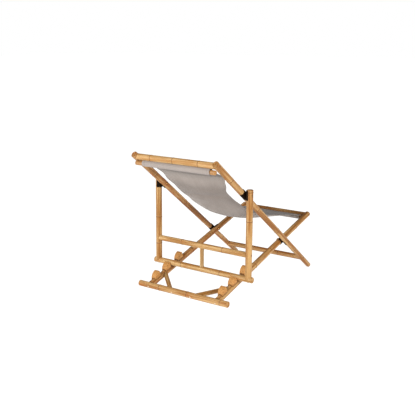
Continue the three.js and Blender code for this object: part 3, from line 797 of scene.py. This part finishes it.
def addRods():
    r, b = upperRod["radius"], upperRod["bevel"]
    addRod("upper", [(0, 0), (r - b, 0), (r - b * 0.3, b * 0.3), (r, b)], rodLoops["steps"])
    r, b, t, n = (lowerRod[name] for name in ("radius", "bevel", "tenonRadius", "tenonLength"))
    addRod("lower", [(0, 0), (t - b, 0), (t, b), (t, n), (r - b, n), (r, n + b)])


addRods()


# Pegs: dark ones through the poles, pale plugs in the floor bar
darkPeg = plainWood("peg_wood_dark", paint(126, 82, 44), paint(80, 48, 24), 0.4, 0.6)
palePeg = plainWood("peg_wood_pale", paint(206, 182, 150), paint(176, 144, 108), 0.4, 0.6)


def addPegs():
    r = pegSizes["radius"]
    for node, way in pegWays.items():
        base, length = goingIn(node, way)
        profile = [(0, 0), (r * 0.35, 0.00005), (r * 0.65, 0.0002), (r * 0.86, 0.0005), (r, 0.0012)]
        profile += [(r, length), (0, length)]
        piece = turned("pin_" + node, profile, base, way, pegSizes["sides"])
        isPlug = node.startswith(("seat_rail_peg", "brace_peg"))
        finishPiece(piece, node, "peg_wood", palePeg if isPlug else darkPeg, degrees=50)


addPegs()


# Hinge bolts and their cap nuts, in worn bronze
def wornBronze():
    f = Finish("worn_bronze")
    place = f.objectPlace()
    cloud = f.noise(place, 320, 3, 0.6)
    scratch = f.noise(f.stretched(place, (1, 1, 6)), 900, 2, 0.7)
    color = f.mix(f.ease(cloud, 0.35, 0.7), paint(176, 128, 70), paint(96, 62, 34))
    rough = 0.3 + f.ease(cloud, 0.3, 0.8) * 0.3
    return f.surface(color, rough, {"Metallic": 0.9, "Normal": f.bump(scratch, 0.0001)})


bronze = wornBronze()


def addBolts():
    sizes = boltSizes
    head, high, shank = sizes["headRadius"], sizes["headHeight"], sizes["radius"]
    for node, way in boltWays.items():
        base, length = goingIn(node, way)
        profile = [(0, 0.0016), (0.0021, 0.0016), (0.0023, 0.0002), (head * 0.45, 0)]
        profile += [(head * 0.72, 0.0005), (head * 0.93, 0.0014), (head, high * 0.65)]
        profile += [(head, high - 0.0003), (head - 0.0004, high), (shank, high)]
        profile += [(shank, length), (0, length)]
        piece = turned("pin_" + node, profile, base, way, sizes["sides"])
        finishPiece(piece, node, "bolt_brass", bronze, degrees=30)
        addNut(node.replace("bolt", "cap_nut"), way)


def addNut(node, way):
    base, length = goingIn(node, way)
    r, grip = nutSizes["radius"], nutSizes["grip"]
    bore = boltSizes["radius"] + shared["clearance"]
    hexagon = [(0, grip), (bore, grip), (bore, 0), (r - 0.0006, 0), (r, 0.0005)]
    hexagon += [(r, grip - 0.0012), (r - 0.0012, grip), (r * 0.7, grip + 0.0002)]
    hexagon += [(r * 0.62, grip + 0.0018), (r * 0.4, length - 0.0005), (0, length)]
    piece = turned("nut_" + node, hexagon, base, way, nutSizes["sides"])
    # Six flats on the gripped part
    inward = math.cos(math.pi / 6)
    up = way.normalized()
    side = up.orthogonal().normalized()
    other = up.cross(side)
    for corner in piece.data.vertices:
        arm = corner.co - base
        height = arm.dot(up)
        flat = Vector((arm.dot(side), arm.dot(other)))
        if flat.length < r * 0.8 or height > grip + 0.0001:
            continue
        angle = math.atan2(flat.y, flat.x) % (math.pi / 3) - math.pi / 6
        limit = r * inward / math.cos(angle)
        if flat.length > limit:
            flat = flat.normalized() * limit
            corner.co = base + up * height + side * flat.x + other * flat.y
    finishPiece(piece, node, "bolt_brass", bronze, degrees=25)


addBolts()


# Rubber half sleeves between the crossing poles
padSizes = {
    "seat_hinge": 0.044,  # the length along the pole
    "prop_hinge": 0.052,
    "thickness": 0.00256,
    "round": 0.0009,
    "steps": 32,
}


def padRubber():
    f = Finish("pad_rubber")
    place = f.objectPlace()
    dust = f.noise(place, 240, 4, 0.6)
    grain = f.noise(place, 2600, 2, 0.6)
    color = f.mix(f.ease(dust, 0.45, 0.8) * 0.5, paint(20, 9, 3), paint(38, 22, 10))
    rough = 0.75 + f.ease(dust, 0.3, 0.8) * 0.2
    return f.surface(color, rough, {"Normal": f.bump(grain, 0.0002), "Specular IOR Level": 0.08})


rubber = padRubber()


# A lengthwise section of the sleeve, repeated half way round its pole
def addPad(hinge, layer, word, pole, facing):
    node = f"{hinge}_{layer}_pad_{word}"
    middleHeight = (pole.place.inverted() @ middle(node)).z
    inner = pole.radiusAt(middleHeight) + shared["clearance"]
    outer = inner + padSizes["thickness"]
    half, r, steps = padSizes[hinge] / 2, padSizes["round"], padSizes["steps"]
    turn = pole.place.to_3x3().inverted() @ (across * facing)
    start = math.atan2(turn.y, turn.x)
    rim = [(inner, half), (outer - r, half), (outer - r * 0.3, half - r * 0.3)]
    rim += [(outer, half - r), (outer, half * 0.5)]
    section = [(radius, -height) for radius, height in rim] + [(outer, 0)] + rim[::-1]
    points, faces = [], []
    for i in range(steps + 1):
        angle = start + (i / steps - 0.5) * math.pi
        squeeze = r * 0.5 if i in (0, steps) else 0
        for radius, height in section:
            reach = min(radius, outer - squeeze)
            points.append((math.cos(angle) * reach, math.sin(angle) * reach, middleHeight + height))
    count = len(section)
    for i in range(steps):
        faces += band((i + 1) * count, i * count, count)
    faces.append(tuple(range(count)))
    faces.append(tuple(steps * count + j for j in reversed(range(count))))
    piece = newPiece("sleeve_" + node, points, faces, pole.place)
    cutAway(piece, [holeFor(f"{hinge}_bolt_{word}")])
    finishPiece(piece, node, "pad_rubber", rubber, degrees=40)


for word, side in sides.items():
    addPad("seat_hinge", "outer", word, poles[f"back_rail_{word}"], -side)
    addPad("seat_hinge", "inner", word, poles[f"seat_rail_{word}"], side)
    addPad("prop_hinge", "outer", word, poles[f"prop_post_{word}"], -side)
    addPad("prop_hinge", "inner", word, poles[f"back_rail_{word}"], side)
print("fasteners and pads made")


# Notch blocks on the seat rails
notchSizes = {
    "length": 0.046,
    "width": 0.032,
    "height": 0.048,
    "tip": 0.009,
    "tipRound": 0.003,
    "backShare": 0.86,
    "edge": 0.0018,
    "columns": 12,
    "backSteps": 14,
    "tipSteps": 4,
}


def notchWood():
    f = Finish("notch_block_wood")
    place = f.objectPlace()
    lines = f.noise(f.stretched(place, (1, 1, 0.06)), 340, 4, 0.6)
    cloud = f.noise(place, 70, 3, 0.6)
    color = f.mix(f.ease(lines, 0.38, 0.68), paint(190, 141, 82), paint(166, 112, 58))
    color = f.mix(f.ease(cloud, 0.5, 0.75) * 0.5, color, paint(134, 82, 36))
    # Painted contact shadow, with some glue, where the block meets its rail
    x = f.part(place, "X")
    y = f.part(place, "Y")
    fromAxis = x.math("SQRT", x * x + y * y)
    joint = 1 - f.ease(fromAxis + cloud * 0.003, 0.0195, 0.0285)
    color = f.mix(joint * 0.85, color, paint(86, 50, 20))
    return f.surface(color, 0.6, {"Normal": f.bump(lines, 0.0004), "Specular IOR Level": 0.2})


blockFinish = notchWood()


def quadratic(first, handle, last, steps):
    for i in range(1, steps + 1):
        t = i / steps
        yield tuple(
            (1 - t) ** 2 * a + 2 * t * (1 - t) * b + t ** 2 * c
            for a, b, c in zip(first, handle, last)
        )


def addNotchBlock(node, pole):
    size = notchSizes
    half, height = size["length"] / 2, size["height"]
    points = cornersOf(node) @ np.array(seatWay)
    fromStart = float((points.min() + points.max()) / 2) - pole.start.dot(seatWay)
    # Outline in the side view: forward is +, up is +
    outline = [(half, 0), (-half, 0)]
    outline += quadratic((-half, 0), (-half, height * size["backShare"]),
                         (half - size["tip"], height), size["backSteps"])
    tipStart = (half - size["tipRound"], height)
    outline.append(tipStart)
    outline += quadratic(tipStart, (half, height), (half, height - size["tipRound"]),
                         size["tipSteps"])
    reach = pole.radiusAt(fromStart) + shared["clearance"]
    columns = size["columns"]
    vertices, faces = [], []
    for c in range(columns + 1):
        x = (c / columns - 0.5) * size["width"]
        floor = math.sqrt(reach ** 2 - x ** 2)
        for forward, up in outline:
            vertices.append((x, max(up, floor), fromStart + forward))
    count = len(outline)
    for c in range(columns):
        faces += band(c * count, (c + 1) * count, count)
    faces.append(tuple(reversed(range(count))))
    faces.append(tuple(columns * count + j for j in range(count)))
    piece = newPiece("block_" + node, vertices, faces, pole.place)
    edge = piece.modifiers.new("edge", "BEVEL")
    edge.width = size["edge"]
    edge.segments = 3
    edge.limit_method = "ANGLE"
    edge.angle_limit = math.radians(50)
    bakeShape(piece)
    finishPiece(piece, node, "notch_wood", blockFinish)


for word in sides:
    for number in (1, 2, 3):
        addNotchBlock(f"notch_block_{word}_{number}", poles[f"seat_rail_{word}"])
print("notch blocks made")


# Cloth seat
sling = {
    "thickness": 0.0018,
    "topHalfWidth": 0.221,
    "frontHalfWidth": 0.204,
    "drop": 0.092,
    "belly": 0.046,
    "creaseDepth": 0.009,
    "creasePlace": 0.30,
    "creaseSpread": 0.022,
    "rippleDepth": 0.0025,
    "rippleCount": 4,
    "bellyTop": 0.48,
    "bellyFull": 0.6,
    "seamDropShare": -0.073,
    "hemReach": 0.027,  # from a rod's axis to its tunnel's seam
    "hemSlack": 0.0021,
    "rodFit": 0.0002,
    "hemGap": 1.15,  # in thicknesses of the cloth
    "hemTailShare": 0.97,
    "topShift": -0.011,
    "shiftEnd": 0.36,
    "columns": 72,
    "rows": 150,
    "hemSteps": 26,
    "tailSteps": 8,
    "blendShare": 0.08,
}
# Down the cloth from rod to rod: its edge's drop under the chord, and its width
edgeDropShares = [
    (0.07, -0.09), (0.11, -0.08), (0.15, 0.02), (0.2, 0.32), (0.25, 0.51), (0.31, 0.655),
    (0.38, 0.81), (0.48, 1), (0.59, 0.855), (0.67, 0.73), (0.82, 0.335), (0.94, 0.02),
]
waistShares = [
    (0, 1), (0.12, 0.995), (0.18, 0.91), (0.25, 0.79), (0.33, 0.79), (0.45, 0.84),
    (0.6, 0.88), (0.75, 0.91), (0.9, 0.92), (1, sling["frontHalfWidth"] / sling["topHalfWidth"]),
]


def smooth(value, low, high):
    t = min(1, max(0, (value - low) / (high - low)))
    return t * t * (3 - 2 * t)


def readShares(table, share):
    for (fromPlace, fromValue), (toPlace, toValue) in zip(table, table[1:]):
        if share <= toPlace:
            return fromValue + (toValue - fromValue) * smooth(share, fromPlace, toPlace)
    return table[-1][1]


def splinePoint(points, share):
    last = len(points) - 1
    spot = last * share
    i = min(int(spot), last)
    t = spot - i
    a, b = points[max(0, i - 1)], points[i]
    c, d = points[min(last, i + 1)], points[min(last, i + 2)]
    inWay, outWay = (c - a) / 2, (d - b) / 2
    cubic = 2 * b - 2 * c + inWay + outWay
    square = 3 * c - 3 * b - 2 * inWay - outWay
    return cubic * t ** 3 + square * t ** 2 + inWay * t + b


def sideView(point):
    return Vector((point.y, point.z))


def makeCloth():
    upper, lower = sideView(middle("upper_sling_rod")), sideView(middle("lower_sling_rod"))
    chord = (lower - upper).length
    chordWay = (lower - upper).normalized()
    downWay = Vector((-chordWay.y, chordWay.x))
    if downWay.y > 0:
        downWay.negate()
    start = sling["hemReach"] / chord
    curve = [Vector((start, sling["seamDropShare"]))]
    curve += [Vector(pair) for pair in edgeDropShares]
    curve.append(Vector((1 - start, 0)))

    def onCloth(share, side):
        place, dropShare = splinePoint(curve, share)
        between = math.sin(math.pi * place)
        fullness = smooth(place, sling["creasePlace"], sling["bellyFull"])
        full = sling["bellyTop"] + (1 - sling["bellyTop"]) * fullness
        belly = sling["belly"] * full * (1 - side ** 2) * between
        fromCrease = (place - sling["creasePlace"]) / sling["creaseSpread"] - side
        crease = sling["creaseDepth"] * math.exp(-fromCrease ** 2) * (1 - side ** 4)
        ripple = math.sin(math.tau * sling["rippleCount"] * place) * side ** 2 * between
        drop = dropShare * sling["drop"] + belly - crease + sling["rippleDepth"] * ripple
        drop += wrinkles(place, side) * between
        return upper + chordWay * (place * chord) + downWay * drop

    def wrinkles(place, side):
        pull = 0.0011 * math.sin(38 * side + 9 * place) * math.exp(-((place - 0.1) / 0.12) ** 2)
        folds = 0.0010 * math.sin(46 * place - 7 * side) * math.exp(-((place - 0.42) / 0.16) ** 2)
        drape = 0.0012 * math.sin(27 * place + 11 * side + 1) * side ** 2
        return pull + folds + drape

    # From the seam round the rod and back to the seam, on the far side of the cloth
    def hemLoop(rodCentre, rodRadius, seam, backSign, slack):
        centre = rodCentre + Vector((0, slack))
        arm = seam - centre
        radius = rodRadius + shared["clearance"] + sling["thickness"] / 2 + sling["rodFit"] + slack
        spread = math.acos(radius / arm.length)
        first = math.atan2(arm.y, arm.x)
        made = []
        for i in range(sling["hemSteps"] + 1):
            turn = spread + (math.tau - 2 * spread) * i / sling["hemSteps"]
            angle = first - backSign * turn
            made.append(centre + Vector((math.cos(angle), math.sin(angle))) * radius)
        aside = Vector((-arm.y, arm.x)).normalized() * (sling["thickness"] * sling["hemGap"])
        tail = seam + aside * backSign
        end, steps = made[-1], sling["tailSteps"]
        for i in range(1, steps + 1):
            made.append(end.lerp(tail, i / steps * sling["hemTailShare"]))
        return made

    rows, lengths = [], []
    for c in range(sling["columns"] + 1):
        side = c / sling["columns"] * 2 - 1
        sheet = [onCloth(i / sling["rows"], side) for i in range(sling["rows"] + 1)]
        upperHem = hemLoop(upper, upperRod["radius"], sheet[0], 1, sling["hemSlack"])[::-1]
        path = upperHem + sheet + hemLoop(lower, lowerRod["radius"], sheet[-1], -1, 0)
        line, run = [], 0
        for i, point in enumerate(path):
            if i:
                run += (point - path[i - 1]).length
            place = min(1, max(0, (point - upper).dot(chordWay) / chord))
            half = sling["topHalfWidth"] * readShares(waistShares, place)
            shift = sling["topShift"] * (1 - smooth(place, 0, sling["shiftEnd"]))
            line.append((Vector((side * half + shift, point.x, point.y)), run))
        rows.append(line)
        lengths.append(run)
    return rows, lengths, len(upperHem)


def canvas(seamStart, seamEnd, width):
    look = {"thread": 0.0009, "hem": 0.014, "stitch": 0.0042}
    f = Finish("woven_canvas")
    uv = f.node("ShaderNodeUVMap", {"uv_map": "cut"}, (), "UV")
    spot = f.part(uv, "X")
    run = f.part(uv, "Y")
    weave = spot.wave(look["thread"]) * run.wave(look["thread"])
    warp = f.noise(f.stretched(uv, (1, 0.02, 1)), 1400, 2, 0.6)
    weft = f.noise(f.stretched(uv, (0.02, 1, 1)), 1400, 2, 0.6)
    cloud = f.noise(f.stretched(uv, (1, 0.5, 1)), 9, 4, 0.6)
    fleck = f.noise(f.stretched(uv, (1, 0.7, 1)), 260, 3, 0.65)

    base = f.mix(f.ease(cloud, 0.3, 0.7), paint(124, 114, 107), paint(141, 131, 124))
    # Painted light and shade: the taut back is painted lighter and the lap darker for the sag, the tunnel
    # lighter where it faces up to the lamps, the cloth under the tunnel darker
    paintedSagLight = f.ease(run, 0.12, 0.2) * (1 - f.ease(run, 0.22, 0.3))
    paintedSagShade = f.ease(run, 0.28, 0.33) * (1 - f.ease(run, 0.4, 0.5))
    tunnel = 1 - f.ease(run, seamStart - 0.0035, seamStart - 0.001)
    shadeUnderTunnel = (1 - tunnel) * (1 - f.ease(run, 0.2, 0.27))
    contactShadowLine = (1 - tunnel) * (1 - f.ease(run, 0.192, 0.21))
    base = f.mix(paintedSagLight * 0.75, base, paint(157, 147, 139))
    base = f.mix(paintedSagShade * 0.75, base, paint(112, 101, 93))
    # The tunnel is painted lighter: painted light where the hem faces up to the lamps
    base = f.mix(tunnel * 0.62, base, paint(160, 149, 142))
    # Painted shade on the cloth under the tunnel, and a darker painted contact shadow right below it
    base = f.mix(shadeUnderTunnel * 0.42, base, paint(104, 95, 88))
    base = f.mix(contactShadowLine * 0.6, base, paint(80, 72, 66))
    color = f.mix(f.ease(warp, 0.45, 0.8) * 0.3, base, paint(106, 97, 91))
    color = f.mix(f.ease(weft, 0.5, 0.8) * 0.3, color, paint(156, 147, 138))
    color = f.mix(f.ease(fleck, 0.58, 0.78) * 0.2, color, paint(98, 89, 83))
    color = f.mix(f.ease(weave, 0.1, 0.9) * 0.12, color, paint(162, 153, 145))

    # Double stitch rows beside the seams of both rod tunnels, and one row down each side hem
    def stitches(distance, runAlong):
        row = 1 - f.ease(abs(distance), 0.0003, 0.0009)
        dash = f.ease(runAlong.wave(look["stitch"]), -0.6, -0.1)
        return row * dash

    fromEdge = width / 2 - abs(spot)
    sideRow = stitches(fromEdge - look["hem"], run)
    seam = stitches(run - seamStart, spot)
    seam = seam.math("MAXIMUM", seam, stitches(run - seamEnd, spot))
    rows = seam.math("MAXIMUM", seam, sideRow)
    pucker = 1 - f.ease(abs(fromEdge - look["hem"]), 0.0005, 0.003)
    # The pucker line is painted darker: painted shade in its groove
    color = f.mix(pucker * 0.18, color, paint(84, 76, 70))
    # A dark line at the upper tunnel's seam: painted shade of the seam fold, with some dirt
    seamShadeAndDirt = 1 - f.ease(abs(run - seamStart), 0.0012, 0.004)
    color = f.mix(seamShadeAndDirt * 0.85, color, paint(66, 58, 52))
    color = f.mix(rows * 0.8, color, paint(156, 147, 138))

    height = weave * 0.25 + warp * 0.2 + weft * 0.2 + rows * 1.6 - pucker * 0.8
    height = height - f.ease(fromEdge, look["hem"] - 0.0003, look["hem"] + 0.0003) * 1.2
    return f.surface(color, 0.92, {
        "Normal": f.bump(height, 0.0006),
        "Sheen Weight": 0.12,
        "Sheen Roughness": 0.5,
    })


def addSling():
    rows, lengths, hemCount = makeCloth()
    columns, count, width = len(rows), len(rows[0]), 2 * sling["topHalfWidth"]
    vertices = [point for line in rows for point, _ in line]
    faces = []
    for c in range(columns - 1):
        for i in range(count - 1):
            a = c * count + i
            faces.append((a, a + 1, a + count + 1, a + count))
    piece = newPiece("cloth_sling", vertices, faces)
    cut = piece.data.uv_layers.new(name="cut")
    middleLine = rows[columns // 2]
    for loop in piece.data.loops:
        c, i = divmod(loop.vertex_index, count)
        side = c / (columns - 1) - 0.5
        cut.data[loop.index].uv = (side * width, middleLine[i][1])
    thick = piece.modifiers.new("thick", "SOLIDIFY")
    thick.thickness = sling["thickness"]
    thick.offset = 0
    bakeShape(piece)
    soften(piece, 60)
    seamStart = middleLine[hemCount][1]
    seamEnd = middleLine[count - 1 - hemCount][1]
    piece.data.materials.append(canvas(seamStart, seamEnd, width))
    print("sling cut:", round(width, 3), "x", round(max(lengths), 3))
    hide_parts("sling")
    low, high = middle("lower_sling_rod"), middle("upper_sling_rod")
    share = sling["blendShare"]
    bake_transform(piece, "seat_frame", "back_frame",
             start=low.lerp(high, share), end=low.lerp(high, 1 - share))


addSling()
print("sling made")


# Studio: a pale floor, soft light and the camera of the photograph
def studioFloor():
    f = Finish("studio_floor")
    place = f.objectPlace()
    cloud = f.noise(place, 0.8, 2, 0.5)
    color = f.mix(cloud * 0.3, paint(136, 136, 136), paint(130, 130, 129))
    return f.surface(color, 0.9, {
        "Specular IOR Level": 0.2,
        "Emission Color": (1, 1, 1, 1),
        "Emission Strength": 0.98,
    })


def addStudio():
    studio = {
        "floorHalf": 40,
        "horizonLight": 0.6,
        "topLight": 0.25,
        "horizonRise": 0.17,  # sines of the angles above the floor
        "topRise": 0.5,
        "keyWatts": 370,
        "keyPlace": Vector((1.6, 6.2, 2.4)),
        "keySize": 2.2,
        "fillWatts": 290,
        "fillPlace": Vector((-5.8, 1.2, 2.0)),
        "fillSize": 2.2,
        "target": Vector((0, 0, 0.35)),
    }
    half = studio["floorHalf"]
    corners = [(-half, -half, 0), (half, -half, 0), (half, half, 0), (-half, half, 0)]
    floor = newPiece("studio_floor", corners, [(0, 1, 2, 3)])
    floor.data.materials.append(studioFloor())

    world = bpy.data.worlds.new("studio")
    bpy.context.scene.world = world
    sky = Sky(world)
    way = sky.node("ShaderNodeTexCoord", {}, (), "Generated")
    rise = sky.part(way, "Z")
    fall = studio["horizonLight"] - studio["topLight"]
    light = studio["horizonLight"] - sky.ease(rise, studio["horizonRise"], studio["topRise"]) * fall
    # The camera sees white behind the chair, whatever lights it
    seen = sky.node("ShaderNodeLightPath", {}, (), "Is Camera Ray")
    light = light.math("MAXIMUM", light, seen)
    back = sky.node("ShaderNodeBackground", {}, {"Color": light, "Strength": 1})
    sky.node("ShaderNodeOutputWorld", {}, [back])

    for name in ("key", "fill"):
        lamp = bpy.data.lights.new(name, "AREA")
        lamp.energy = studio[name + "Watts"]
        lamp.size = studio[name + "Size"]
        holder = newObject(name, lamp)
        holder.location = studio[name + "Place"]
        way = studio["target"] - holder.location
        holder.rotation_euler = way.to_track_quat("-Z", "Y").to_euler()
        holder.visible_glossy = name == "key"  # poles seen along their length stay brown


def addCamera():
    view = {
        "place": Vector((-2.4754, 3.4919, 1.3714)),
        "azimuth": math.atan2(0.6016, 0.7988),
        "elevation": math.radians(12.649),
        "lens": 66.68,
        "sensor": 36,
        "farthest": 200,
    }
    camera = bpy.data.cameras.new("camera")
    camera.lens = view["lens"]
    camera.sensor_width = view["sensor"]
    camera.clip_end = view["farthest"]
    holder = newObject("camera", camera)
    holder.location = view["place"]
    level = math.cos(view["elevation"])
    way = Vector((
        math.sin(view["azimuth"]) * level,
        -math.cos(view["azimuth"]) * level,
        -math.sin(view["elevation"]),
    ))
    holder.rotation_euler = way.to_track_quat("-Z", "Y").to_euler()
    bpy.context.scene.camera = holder
    bpy.context.scene.view_settings.view_transform = "Standard"


addStudio()
addCamera()
print("studio made")
